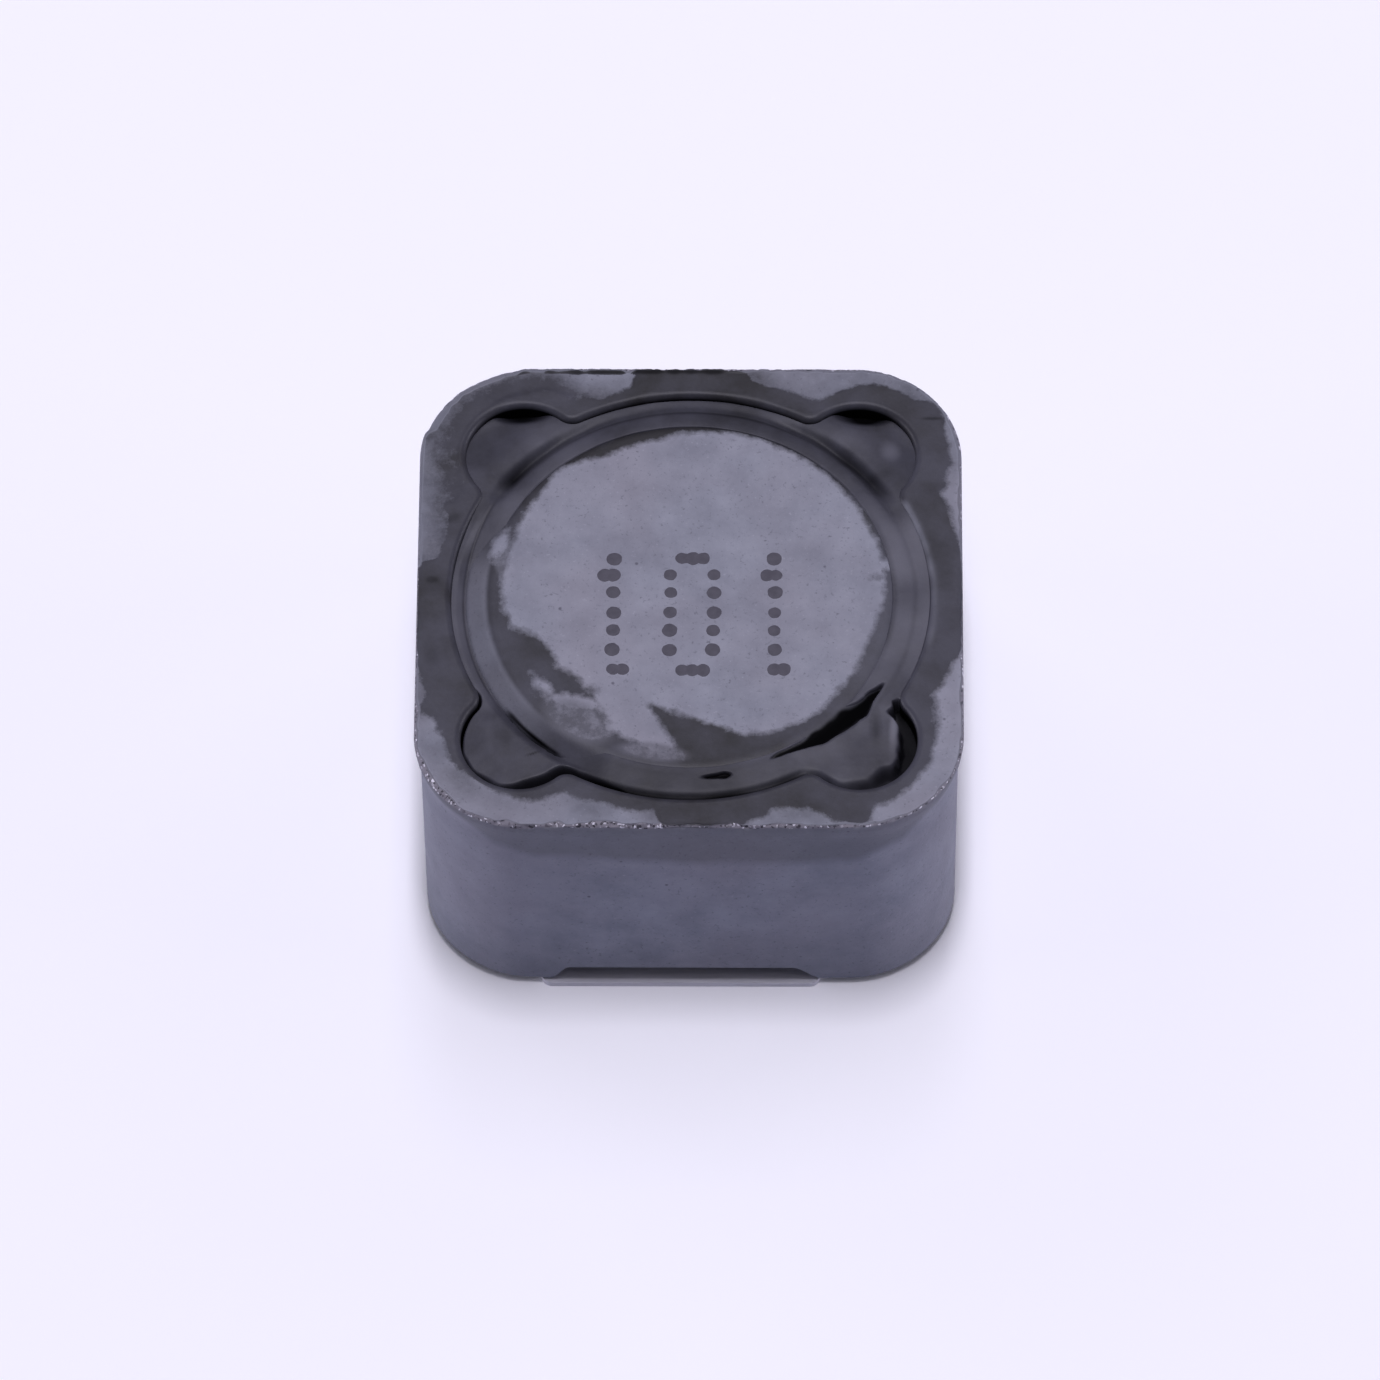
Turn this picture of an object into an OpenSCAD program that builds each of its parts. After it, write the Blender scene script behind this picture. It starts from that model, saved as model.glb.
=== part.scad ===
// Shielded surface-mount power inductor. A ferrite drum wound with enamelled wire stands inside a square
// ferrite ring that closes its magnetic circuit. Two tinned strips under the foot carry the wire's ends.
// Z = 0 is the board, the part is centred on X and Y, and the front notch faces -Y.

/* [Ring core] */
// Width of the square ring, wall to wall
ring_w = 12; // [10.8:0.1:14]
// Height of the ring alone
ring_h = 6.6; // [5:0.1:8.5]
// Radius of the ring's upright outer corners
ring_corner_r = 2.4; // [1.6:0.1:2.8]
// Thickness of the wall at the middle of each side
wall_t = 0.75; // [0.55:0.05:1.1]
// Diameter of the lobe that opens the bore at each corner
lobe_d = 2.54; // [2.1:0.1:2.9]
// Radius that rounds each cusp between bore and lobe
cusp_r = 0.4; // [0.2:0.05:0.6]
// Size of the broken edge round the ring's top and foot
edge_break = 0.1; // [0.04:0.02:0.2]

/* [Foot notches] */
// Width of a notch at its roof
notch_roof_w = 5; // [3.5:0.1:5.4]
// Width of a notch at its mouth
notch_mouth_w = 6.2; // [5.6:0.1:7]
// Height of a notch above the ring's foot
notch_h = 0.6; // [0.3:0.05:1]
// How far the front notch sits off the middle plane, towards +X
notch_shift = -0.2; // [-0.3:0.05:0.3]

/* [Drum core] */
// Radial gap between the drum's flanges and the bore
drum_gap = 0.3; // [0.15:0.05:0.5]
// Depth of the drum's top face below the ring's top
drum_recess = 0.05; // [0.02:0.01:0.3]
// Thickness of each flange
flange_t = 1; // [0.7:0.05:1.4]
// Diameter of the post between the flanges
post_d = 4.6; // [3.6:0.1:5]
// Width of the bevel round the top flange
bevel_w = 0.35; // [0.1:0.05:0.6]
// Height of that bevel
bevel_h = 0.25; // [0.1:0.05:0.4]

/* [Winding] */
// Diameter of the enamelled wire
wire_d = 0.39; // [0.25:0.01:0.5]
// Layers of wire on the post
wire_layers = 5; // [2:1:5]
// Free space between the coil and each flange
coil_clear = 0.02; // [0.01:0.01:0.1]
// How far outside the lobe's centre a lead drops
lead_offset = 0.25; // [0:0.05:0.4]
// Bend radius of a lead at its centre line
lead_bend_r = 0.5; // [0.4:0.05:0.8]
// Height of a lead's cut end above the board
lead_end = 0.03; // [0.02:0.01:0.1]

/* [Terminals] */
// Width of a terminal strip
terminal_w = 6.2; // [5:0.1:6.6]
// Length of a strip, from the ring's wall inwards
terminal_l = 2.8; // [2.7:0.1:3.2]
// Thickness of the strip
terminal_t = 0.15; // [0.1:0.01:0.3]
// Corner radius of the strip and its ear
terminal_corner_r = 0.25; // [0.1:0.05:0.4]
// Width of the square ear that takes the lead
ear_w = 0.98; // [0.8:0.02:1.2]
// Gap round the wire in the ear's hole
ear_hole_gap = 0.06; // [0.03:0.01:0.1]
// Diameter of the solder fillet on the ear
solder_d = 0.88; // [0.7:0.02:1]
// Height of the solder fillet
solder_h = 0.35; // [0.2:0.05:0.6]

/* [Adhesives] */
// Depth of the underside of the top adhesive below the ring's top
glue_depth = 1.15; // [1:0.05:1.5]
// Depth of the adhesive's surface at the lobe's outer wall
glue_lobe_drop = 0.9; // [0.5:0.05:0.95]
// Depth of the adhesive's surface where it meets the bore
glue_bore_drop = 0.24; // [0.1:0.02:0.3]
// Thickness of the bond between a strip and the drum
bond_t = 0.08; // [0.04:0.01:0.2]
// How far the bond stays back from the ring's wall
bond_inset = 0.45; // [0.2:0.05:0.6]
// Gap between the bond and the solder fillet
bond_solder_gap = 0.1; // [0.05:0.05:0.2]

/* [Hidden] */
$fn = 96;

FERRITE = [0.36, 0.36, 0.42];
EPOXY = [0.2, 0.2, 0.23];
COPPER = [0.62, 0.27, 0.12];
TIN = [0.74, 0.74, 0.8];

// Overshoot of a cutter past the surface it cuts
over = 0.5;
// Overlap that makes rounded cusps cross the bore instead of just touching it
cusp_bite = 0.002;

ring_foot = terminal_t;
ring_top = ring_foot + ring_h;
bore_r = ring_w / 2 - wall_t;
lobe_r = lobe_d / 2;
// The lobes are centred on the bore's circle
lobe_centre_r = bore_r;

drum_foot = terminal_t + bond_t;
drum_h = ring_top - drum_recess - drum_foot;
flange_r = bore_r - drum_gap;
post_r = post_d / 2;

wire_r = wire_d / 2;
coil_foot = drum_foot + flange_t + coil_clear;
coil_h = drum_h - 2 * (flange_t + coil_clear);
turns = floor(coil_h / wire_d);
turn_pitch = coil_h / turns;
// Layers nest in the valleys of the one below
outer_layer_r = post_r + wire_r + (wire_layers - 1) * wire_d * cos(30);
// The impregnating varnish fills the valleys between turns up to this radius
valley_r = outer_layer_r + 0.6 * wire_r;

lead_r = lobe_centre_r + lead_offset;
lead_z = coil_foot + turn_pitch;
// A lead drops on a diagonal, so this is its distance from the middle planes
lead_xy = lead_r * cos(45);
ear_hole_r = wire_r + ear_hole_gap;

// ---- outlines ----

// Rectangle with true arcs at its corners
module rounded_rect(w, l, r) {
    square([w, l - 2 * r], center = true);
    square([w - 2 * r, l], center = true);
    for (x = [-1, 1], y = [-1, 1])
        translate([x * (w / 2 - r), y * (l / 2 - r)])
            circle(r);
}

// Upper crossing of a circle of radius r1 round the origin and one of radius r2 round [d, 0]
function crossing(r1, r2, d) =
    let (x = (r1 ^ 2 - r2 ^ 2 + d ^ 2) / (2 * d))
    [x, sqrt(r1 ^ 2 - x ^ 2)];

// What rounding removes from the upper ferrite cusp of a lobe that lies along +X. A circle of radius
// cusp_r rests against the bore and the lobe from outside, and the cusp beyond it goes.
module cusp_relief() {
    to_bore = bore_r + cusp_r - cusp_bite;
    to_lobe = lobe_r + cusp_r - cusp_bite;
    lobe_centre = [lobe_centre_r, 0];
    cusp = crossing(bore_r, lobe_r, lobe_centre_r);
    centre = crossing(to_bore, to_lobe, lobe_centre_r);
    difference() {
        polygon([
            centre,
            centre * bore_r / to_bore,
            cusp + (cusp - centre) / 2,
            lobe_centre + (centre - lobe_centre) * lobe_r / to_lobe,
        ]);
        translate(centre)
            circle(cusp_r);
    }
}

// Outline of the ring's inside: the round bore, four lobes and their rounded cusps
module bore_outline() {
    circle(bore_r);
    for (a = [45 : 90 : 315])
        rotate(a) {
            translate([lobe_centre_r, 0])
                circle(lobe_r);
            for (side = [0, 1])
                mirror([0, side])
                    cusp_relief();
        }
}

// Trapezoid section of the front notch, with its mouth on y = 0
module notch_section() {
    translate([notch_shift, 0])
        polygon([
            [-notch_mouth_w / 2, 0], [notch_mouth_w / 2, 0],
            [notch_roof_w / 2, notch_h], [-notch_roof_w / 2, notch_h],
        ]);
}

// Section of the cutter that breaks an outer edge standing at the origin
module edge_section() {
    polygon([
        [-edge_break, 0], [0, -edge_break], [over, -edge_break],
        [over, over], [-edge_break, over],
    ]);
}

// Cutter that breaks the top outer edge of the rounded square ring
module edge_cutter() {
    for (a = [0 : 90 : 270])
        rotate(a) {
            translate([ring_w / 2, 0, 0])
                rotate([90, 0, 0])
                    linear_extrude(ring_w - 2 * ring_corner_r, center = true)
                        edge_section();
            translate([ring_w / 2 - ring_corner_r, ring_w / 2 - ring_corner_r, 0])
                rotate_extrude(angle = 90)
                    translate([ring_corner_r, 0])
                        edge_section();
        }
}

// Cutter for the front notch, from the bore's middle out through the wall
module front_notch() {
    translate([0, 0, ring_foot])
        rotate([90, 0, 0])
            linear_extrude(ring_w / 2 + over) {
                notch_section();
                // Opens the mouth downwards, clear of the foot's face
                translate([notch_shift, -over / 2])
                    square([notch_mouth_w, over], center = true);
            }
}

// What is at the back is what is at the front, turned half round
module at_back() {
    rotate(180)
        children();
}

// ---- sub-parts ----

module ring_core() {
    color(FERRITE)
        difference() {
            translate([0, 0, ring_foot])
                linear_extrude(ring_h)
                    rounded_rect(ring_w, ring_w, ring_corner_r);
            translate([0, 0, ring_foot - over])
                linear_extrude(ring_h + 2 * over)
                    bore_outline();
            front_notch();
            at_back()
                front_notch();
            translate([0, 0, ring_top])
                edge_cutter();
            translate([0, 0, ring_foot])
                mirror([0, 0, 1])
                    edge_cutter();
        }
}

module drum_core() {
    color(FERRITE)
        translate([0, 0, drum_foot])
            rotate_extrude()
                polygon([
                    [0, 0],
                    [flange_r - edge_break, 0],
                    [flange_r, edge_break],
                    [flange_r, flange_t],
                    [post_r, flange_t],
                    [post_r, drum_h - flange_t],
                    [flange_r, drum_h - flange_t],
                    [flange_r, drum_h - bevel_h],
                    [flange_r - bevel_w, drum_h],
                    [0, drum_h],
                ]);
}

// One lead along +X: out of the coil over the lower flange, round a bend and down to its ear
module lead() {
    run_start = valley_r - wire_d;
    run_end = lead_r - lead_bend_r;
    translate([run_start, 0, lead_z])
        rotate([0, 90, 0])
            cylinder(r = wire_r, h = run_end - run_start);
    translate([run_end, 0, lead_z - lead_bend_r])
        rotate([90, 0, 0])
            rotate_extrude(angle = 90)
                translate([lead_bend_r, 0])
                    circle(wire_r);
    translate([lead_r, 0, lead_end])
        cylinder(r = wire_r, h = lead_z - lead_bend_r - lead_end);
}

// The coil's inner layers are one mass, and its outer layer shows each turn
module winding() {
    color(COPPER) {
        rotate_extrude() {
            translate([post_r, coil_foot])
                square([valley_r - post_r, coil_h]);
            for (k = [0 : turns - 1])
                translate([outer_layer_r, coil_foot + (k + 0.5) * turn_pitch])
                    circle(wire_r);
        }
        for (a = [225, 45])
            rotate(a)
                lead();
    }
}

// Epoxy that fills the gap round the top flange and slopes down into the lobes
module top_adhesive() {
    reach = lobe_centre_r + lobe_r + over;
    bevel_foot = drum_recess + bevel_h;
    slope = (glue_lobe_drop - glue_bore_drop) / lobe_r;
    color(EPOXY)
        intersection() {
            translate([0, 0, ring_top])
                rotate_extrude()
                    polygon([
                        [flange_r, -glue_depth],
                        [reach, -glue_depth],
                        [reach, -glue_lobe_drop - slope * over],
                        [bore_r, -glue_bore_drop],
                        [flange_r, -bevel_foot],
                    ]);
            translate([0, 0, ring_top - glue_depth - over])
                linear_extrude(glue_depth + 2 * over)
                    bore_outline();
        }
}

// A flat strip flush with the ring's wall, with an ear under the lobe where its lead comes down
module terminal() {
    color(TIN)
        difference() {
            linear_extrude(terminal_t) {
                translate([notch_shift, (terminal_l - ring_w) / 2])
                    rounded_rect(terminal_w, terminal_l, terminal_corner_r);
                translate([-lead_xy, -lead_xy])
                    rounded_rect(ear_w, ear_w, terminal_corner_r);
                // The ear's root, which runs on into the strip
                translate([-lead_xy, -lead_xy - ear_w / 2])
                    square([lead_xy - terminal_w / 2 + notch_shift + terminal_corner_r, ear_w]);
            }
            translate([-lead_xy, -lead_xy, -over])
                cylinder(r = ear_hole_r, h = terminal_t + 2 * over);
        }
}

// Solder round a lead's end: it fills the ear's hole and climbs the wire in a hollow fillet
module solder_joint() {
    steps = 6;
    foot_r = solder_d / 2;
    fillet = [
        for (i = [0 : steps])
            [
                foot_r - (foot_r - wire_r) * sin(90 * i / steps),
                terminal_t + solder_h * (1 - cos(90 * i / steps)),
            ]
    ];
    color(TIN)
        translate([-lead_xy, -lead_xy, 0])
            rotate_extrude()
                polygon(concat(
                    [[0, 0], [ear_hole_r, 0], [ear_hole_r, terminal_t]],
                    fillet,
                    [[wire_r, lead_end], [0, lead_end]]
                ));
}

// Epoxy in the notch behind the wall: it holds the strip to the ring, and a film of it holds the drum
module terminal_bond() {
    bond_l = terminal_l - bond_inset;
    color(EPOXY)
        difference() {
            translate([0, bond_inset - ring_w / 2 + bond_l, ring_foot])
                rotate([90, 0, 0])
                    linear_extrude(bond_l)
                        notch_section();
            translate([-lead_xy, -lead_xy, 0])
                cylinder(r = solder_d / 2 + bond_solder_gap, h = ring_foot + notch_h + over);
            translate([0, 0, drum_foot])
                rotate_extrude()
                    polygon([
                        [0, 0],
                        [flange_r - edge_break, 0],
                        [flange_r, edge_break],
                        [flange_r, flange_t + over],
                        [0, flange_t + over],
                    ]);
        }
}

ring_core();
drum_core();
winding();
top_adhesive();
terminal();  // terminal_front
at_back() terminal();  // terminal_back
solder_joint();  // solder_joint_front
at_back() solder_joint();  // solder_joint_back
terminal_bond();  // terminal_bond_front
at_back() terminal_bond();  // terminal_bond_back
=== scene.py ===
"""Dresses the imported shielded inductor: a pressed ferrite ring and drum, epoxy run in between them, enamelled
wire, tinned strips and their solder. The part's lengths are in millimetres, and skin() makes them metres."""
import math

import bpy
import numpy as np
from mathutils import Matrix, Vector


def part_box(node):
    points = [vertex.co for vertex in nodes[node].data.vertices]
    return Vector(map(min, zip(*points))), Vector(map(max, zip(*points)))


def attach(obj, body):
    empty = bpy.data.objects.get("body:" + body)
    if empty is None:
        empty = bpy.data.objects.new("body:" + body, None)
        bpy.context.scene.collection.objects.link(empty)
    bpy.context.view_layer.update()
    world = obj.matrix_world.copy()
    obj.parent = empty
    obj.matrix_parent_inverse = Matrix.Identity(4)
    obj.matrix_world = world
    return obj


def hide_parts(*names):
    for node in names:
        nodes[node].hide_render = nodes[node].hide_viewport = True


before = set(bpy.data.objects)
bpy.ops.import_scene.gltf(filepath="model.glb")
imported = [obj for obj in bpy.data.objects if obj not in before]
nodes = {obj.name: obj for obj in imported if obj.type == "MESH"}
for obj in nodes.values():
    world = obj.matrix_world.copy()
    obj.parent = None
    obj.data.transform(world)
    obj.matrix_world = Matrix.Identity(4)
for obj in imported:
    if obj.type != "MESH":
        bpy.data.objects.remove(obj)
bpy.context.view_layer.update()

MM = 0.001


def box_mm(node):
    """Lowest and highest corner of a CAD node, in millimetres."""
    low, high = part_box(node)
    return np.array(low) / MM, np.array(high) / MM


ring_low, ring_high = box_mm("ring_core")
drum_low, drum_high = box_mm("drum_core")

# Ring core
HALF_W = ring_high[0]
RING_FOOT = ring_low[2]
RING_TOP = ring_high[2]
CORNER_R = 2.4
BORE_R = 5.25
LOBE_R = 1.27
CUSP_R = 0.4
INNER_ROUND = 0.16

# Foot notches
NOTCH_SHIFT = -0.2
NOTCH_MOUTH = 3.1
NOTCH_MOUTH_LEFT = 2.85
NOTCH_ROOF = 2.5
NOTCH_H = 0.52
NOTCH_EASE = 0.04
# Height over which the wall above a notch closes up
NOTCH_FADE = 1.2

# Drum core
FLANGE_R = drum_high[0]
DRUM_TOP = drum_high[2]
DRUM_FOOT = drum_low[2]
FLANGE_T = 1.0
POST_R = 2.3
BEVEL_W = 0.48
BEVEL_H = 0.25
BEVEL_R = FLANGE_R - BEVEL_W

# Epoxy: its floor below the ring's top, how far it laps in over the bevel, and what it leaves at the wall
GLUE_DEPTH = 1.15
GLUE_LAP = 0.06
GLUE_CLEAR = 0.03

# Points round the opening and round the drum, and along a ray of the epoxy and one of the drum's face
STATIONS = 960
DRUM_STATIONS = 600
GLUE_ROWS = 54
DISC_ROWS = 80
# Radius at which a pole is closed
POLE_R = 0.02


# ---- shapes of numbers ----

def smooth(low, high, x):
    """0 below low, 1 above high and 3t^2 - 2t^3 between them."""
    t = np.clip((x - low) / (high - low), 0, 1)
    return t * t * (3 - 2 * t)


def around(angle, stops):
    """Value at an angle in degrees, from (angle, value) stops round the circle, eased between neighbours."""
    at = np.array([s[0] for s in stops], float)
    value = np.array([s[1] for s in stops], float)
    at = np.append(at, at[0] + 360)
    value = np.append(value, value[0])
    a = (angle - at[0]) % 360
    i = np.clip(np.searchsorted(at - at[0], a, side="right") - 1, 0, len(at) - 2)
    t = smooth(0, 1, (a - (at[i] - at[0])) / (at[i + 1] - at[i]))
    return value[i] * (1 - t) + value[i + 1] * t


def window(angle, start, end, ease):
    """1 for angles between start and end in degrees, easing to 0 over ease degrees outside them."""
    middle = (start + end) / 2
    off = np.abs((angle - middle + 180) % 360 - 180) - (end - start) / 2
    return 1 - smooth(0, ease, off)


LATTICE = 48


def lumps(x, y, z, size, seed):
    """Random field from -1 to 1: random values on a cubic lattice with cells of that size, blended between
    the eight corners round a point with weights 3t^2 - 2t^3."""
    value = np.random.default_rng(seed).uniform(-1, 1, (LATTICE,) * 3)
    cells, eased = [], []
    for c in (x, y, z):
        cell = np.floor(np.asarray(c, float) / size)
        cells.append(cell.astype(int))
        eased.append(smooth(0, 1, c / size - cell))
    total = 0
    for corner in range(8):
        step = [(corner >> k) & 1 for k in range(3)]
        weight = 1
        for t, s in zip(eased, step):
            weight = weight * (t if s else 1 - t)
        i, j, k = [(c + s) % LATTICE for c, s in zip(cells, step)]
        total = total + weight * value[i, j, k]
    return total


def blob(x, y, centre, radii, turn=0):
    """1 in the middle of an ellipse turned by some degrees, 0 on its edge and below 0 outside:
    one minus the distance from the middle measured in radii."""
    c, s = math.cos(math.radians(turn)), math.sin(math.radians(turn))
    dx, dy = x - centre[0], y - centre[1]
    u = (dx * c + dy * s) / radii[0]
    v = (dy * c - dx * s) / radii[1]
    return 1 - np.sqrt(u * u + v * v)


def spots(x, y, ease, *ellipses):
    """1 well inside any of the ellipses and 0 outside them all: the highest of their blobs, each eased up
    from its edge over that share of the way in."""
    return np.max([smooth(0, ease, blob(x, y, *ellipse)) for ellipse in ellipses], axis=0)


def turned(x, y, angle):
    """Points or vectors turned about the axis by an angle, with x and y in the last place."""
    c, s = np.cos(angle), np.sin(angle)
    return np.stack([x * c - y * s, x * s + y * c], -1)


# ---- meshes ----

def skin(name, grids, wrap_rows, first_pole=False, last_pole=False, **fields):
    """Mesh from grids: points[row, column] in millimetres, columns going round once and joined up. wrap_rows
    joins the last row to the first. A pole closes the first or last row with one point at its middle. fields
    are the attributes of a single grid. The winding is turned if the volume comes out negative."""
    vertices, faces, count = [], [], 0
    values = {key: [np.asarray(value, float).reshape(-1)] for key, value in fields.items()}
    for points in grids:
        rows, columns = points.shape[:2]
        index = np.arange(rows * columns).reshape(rows, columns) + count
        upper = np.roll(index, -1, 0) if wrap_rows else index[1:]
        lower = index if wrap_rows else index[:-1]
        quads = np.stack([lower, np.roll(lower, -1, 1), np.roll(upper, -1, 1), upper], -1)
        faces += quads.reshape(-1, 4).tolist()
        vertices.append(points.reshape(-1, 3))
        count += rows * columns
        for wanted, row, turn in ((first_pole, 0, -1), (last_pole, rows - 1, 1)):
            if wanted:
                vertices.append(points[row].mean(0)[None])
                pairs = np.stack([index[row], np.roll(index[row], -1)], -1)[:, ::turn]
                faces += [[a, b, count] for a, b in pairs.tolist()]
                for key in values:
                    edge = values[key][0][index[row]]
                    values[key].append([edge.mean()])
                count += 1
    mesh = bpy.data.meshes.new(name)
    mesh.from_pydata((np.vstack(vertices) * MM).tolist(), [], faces)
    mesh.update()
    if volume(mesh) < 0:
        mesh.flip_normals()
    mesh.shade_smooth()
    for key, value in values.items():
        spread = np.concatenate(value).astype(np.float32)
        mesh.attributes.new(key, "FLOAT", "POINT").data.foreach_set("value", spread)
    piece = bpy.data.objects.new(name, mesh)
    bpy.context.scene.collection.objects.link(piece)
    return piece


def dress(piece, slot, material, *replaced):
    """Gives a piece its material and its body, and hides the CAD nodes that it stands for. slot is not used."""
    piece.data.materials.append(material)
    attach(piece, "root")
    if replaced:
        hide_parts(*replaced)


def volume(mesh):
    """Signed volume inside a closed mesh: a sixth of the triple products of its triangles, summed."""
    mesh.calc_loop_triangles()
    co = np.empty(len(mesh.vertices) * 3)
    mesh.vertices.foreach_get("co", co)
    tri = np.empty(len(mesh.loop_triangles) * 3, int)
    mesh.loop_triangles.foreach_get("vertices", tri)
    a, b, c = co.reshape(-1, 3)[tri.reshape(-1, 3)].transpose(1, 0, 2)
    return float((a * np.cross(b, c)).sum()) / 6


# ---- the lobed opening ----

cusp_x = ((BORE_R + CUSP_R) ** 2 - (LOBE_R + CUSP_R) ** 2 + BORE_R ** 2) / (2 * BORE_R)
cusp_y = math.sqrt((BORE_R + CUSP_R) ** 2 - cusp_x ** 2)
lobe_turn = math.atan2(cusp_y, cusp_x - BORE_R)
bore_turn = math.atan2(cusp_y, cusp_x)
cusp_turn = lobe_turn - bore_turn
# Lengths along half a lobe and its share of the bore: lobe arc, cusp arc, bore arc
lobe_len = LOBE_R * lobe_turn
cusp_len = CUSP_R * cusp_turn
bore_len = BORE_R * (math.radians(45) - bore_turn)
half_len = lobe_len + cusp_len + bore_len


def opening_outline(count):
    """Points of the opening's outline, evenly along it, and unit vectors from the ferrite into the opening.
    A half lobe is an arc about the lobe's centre, then an arc of the cusp's circle turned the other way,
    then the bore's arc. It is mirrored and repeated at the four diagonals."""
    s = np.arange(count) * (8 * half_len / count)
    lobe = np.floor(s / (2 * half_len) + 0.5)
    q = s - lobe * 2 * half_len
    h, side = np.abs(q), np.where(q < 0, -1, 1)
    a = h / LOBE_R
    on_lobe = [BORE_R + LOBE_R * np.cos(a), LOBE_R * np.sin(a), -np.cos(a), -np.sin(a)]
    b = lobe_turn + math.pi - (h - lobe_len) / CUSP_R
    on_cusp = [cusp_x + CUSP_R * np.cos(b), cusp_y + CUSP_R * np.sin(b), np.cos(b), np.sin(b)]
    c = bore_turn + (h - lobe_len - cusp_len) / BORE_R
    on_bore = [BORE_R * np.cos(c), BORE_R * np.sin(c), -np.cos(c), -np.sin(c)]
    part = [h < lobe_len, h < lobe_len + cusp_len]
    x, y, nx, ny = [np.select(part, [l, k], m) for l, k, m in zip(on_lobe, on_cusp, on_bore)]
    turn = np.radians(45 + 90 * lobe)
    return turned(x, y * side, turn), turned(nx, ny * side, turn)


def from_opening(x, y):
    """Distance from the opening's outline: above 0 in the ferrite and below 0 in the opening. Folded into
    half a lobe, it is the distance to the circle of the lobe, bore or cusp, whichever arc faces the point."""
    angle = np.degrees(np.arctan2(y, x))
    fold = np.radians((angle % 90) - 45)
    r = np.hypot(x, y)
    u, v = r * np.cos(fold), np.abs(r * np.sin(fold))
    faces_lobe = np.arctan2(v, u - BORE_R) < lobe_turn
    faces_bore = np.arctan2(v, u) > bore_turn
    to_lobe = np.hypot(u - BORE_R, v) - LOBE_R
    to_bore = r - BORE_R
    to_cusp = CUSP_R - np.hypot(u - cusp_x, v - cusp_y)
    far = 99.0
    nearest = np.minimum(np.where(faces_lobe, to_lobe, far), np.where(faces_bore, to_bore, far))
    return np.where(faces_lobe | faces_bore, nearest, to_cusp)


def square_outline(angle):
    """Point of the ring's outer outline in a direction, and the unit vector outwards: the straight side, or
    the corner's arc where the ray to it passes the side's end."""
    fold = (angle + math.pi / 4) % (math.pi / 2) - math.pi / 4
    turn = angle - fold
    ux, uy = np.cos(fold), np.abs(np.sin(fold))
    centre = HALF_W - CORNER_R
    along = centre * (ux + uy)
    reach = along + np.sqrt(np.maximum(CORNER_R ** 2 - (2 * centre ** 2 - along ** 2), 0))
    straight = HALF_W * uy / ux <= centre
    reach = np.where(straight, HALF_W / ux, reach)
    x, y = reach * ux, reach * uy
    nx = np.where(straight, 1, (x - centre) / CORNER_R)
    ny = np.where(straight, 0, (y - centre) / CORNER_R)
    side = np.where(fold < 0, -1, 1)
    return turned(x, y * side, turn), turned(nx, ny * side, turn)


def notch_height(x, y):
    """Height of the notch over a point of the foot: a trapezoid across X with eased corners, steeper on its
    left, at the front, and the same turned half round at the back."""
    off = np.where(y < 0, x, -x) - NOTCH_SHIFT
    mouth = np.where(off < 0, NOTCH_MOUTH_LEFT, NOTCH_MOUTH)
    return NOTCH_H * (1 - smooth(NOTCH_ROOF - NOTCH_EASE, mouth + NOTCH_EASE, np.abs(off)))


# ---- ring core ----

# The tables below, and those of the drum and the epoxy, give (direction in degrees, value).

# How far varnish has crept over the rim from the opening, which is 0.75 wide where it is narrowest
CREEP = [
    (0, 1.0), (14, 0.86), (25, 0.92), (33, 0.8), (37, 0.75), (40, 0.98), (43, 0.98), (47, 0.66),
    (50, 0.68), (55, 0.64), (60, 0.44), (65, 0.66), (70, 0.62), (75, 0.64), (80, 0.95), (100, 0.95),
    (104, 0.42), (111, 0.38), (116, 0.56), (121, 0.56), (127, 0.36), (135, 0.18), (145, 0.2), (149, 0.36),
    (154, 0.56), (157, 0.76), (160, 0.5), (166, 0.4), (170, 0.42), (172.5, 0.8), (175, 1.0), (206, 1.1),
    (212, 0.6), (217, 0.42), (225, 0.24), (233, 0.28), (240, 0.5), (248, 0.55), (256, 0.5), (262, 0.48),
    (266, 0.95), (279, 0.95), (284, 0.74), (289, 0.64), (295, 0.92), (303, 0.95), (308, 0.5), (315, 0.45),
    (325, 0.41), (334, 0.66), (342, 0.82), (348, 1.0),
]
# How thick and dark the film over the rim is; its rise at the back is painted shade
RIM_TONE = [
    (0, 0.25), (60, 0.45), (90, 0.95), (120, 0.5), (180, 0.35), (225, 0.35), (270, 0.45), (315, 0.3),
]
# How much of the bare rim a breath of varnish dulls
HAZE = [
    (0, -0.25), (45, 0.15), (60, 0.35), (70, 0.45), (80, 0.3), (102, 0.2), (112, 0.3), (120, 0.6),
    (135, 0.9), (148, 0.75), (158, 0.45), (170, 0.45), (212, 0.15), (225, 0.2), (250, 0.1), (300, 0.1),
    (330, -0.3),
]
# How badly the top outer edge has crumbled
CRUMBLE = [
    (0, 0.25), (40, 0.35), (80, 0.5), (110, 0.6), (120, 0.3), (150, 0.2), (180, 0.3), (208, 0.5),
    (225, 0.75), (245, 0.9), (262, 0.85), (268, 0.35), (274, 0.35), (279, 0.85), (295, 0.7), (303, 0.35),
    (330, 0.5),
]
# Where the painted highlight along a bead of clear resin lies, outside the opening, how light it is painted and
# how wide it is
BEAD = [(0, 0.12), (26, 0.06), (40, 0.0), (330, 0.12), (348, 0.14)]
BEAD_HIGHLIGHT = [(0, 0.3), (15, 0.4), (25, 0.6), (40, 0.5), (340, 0.15)]
BEAD_W = 0.08
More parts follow.
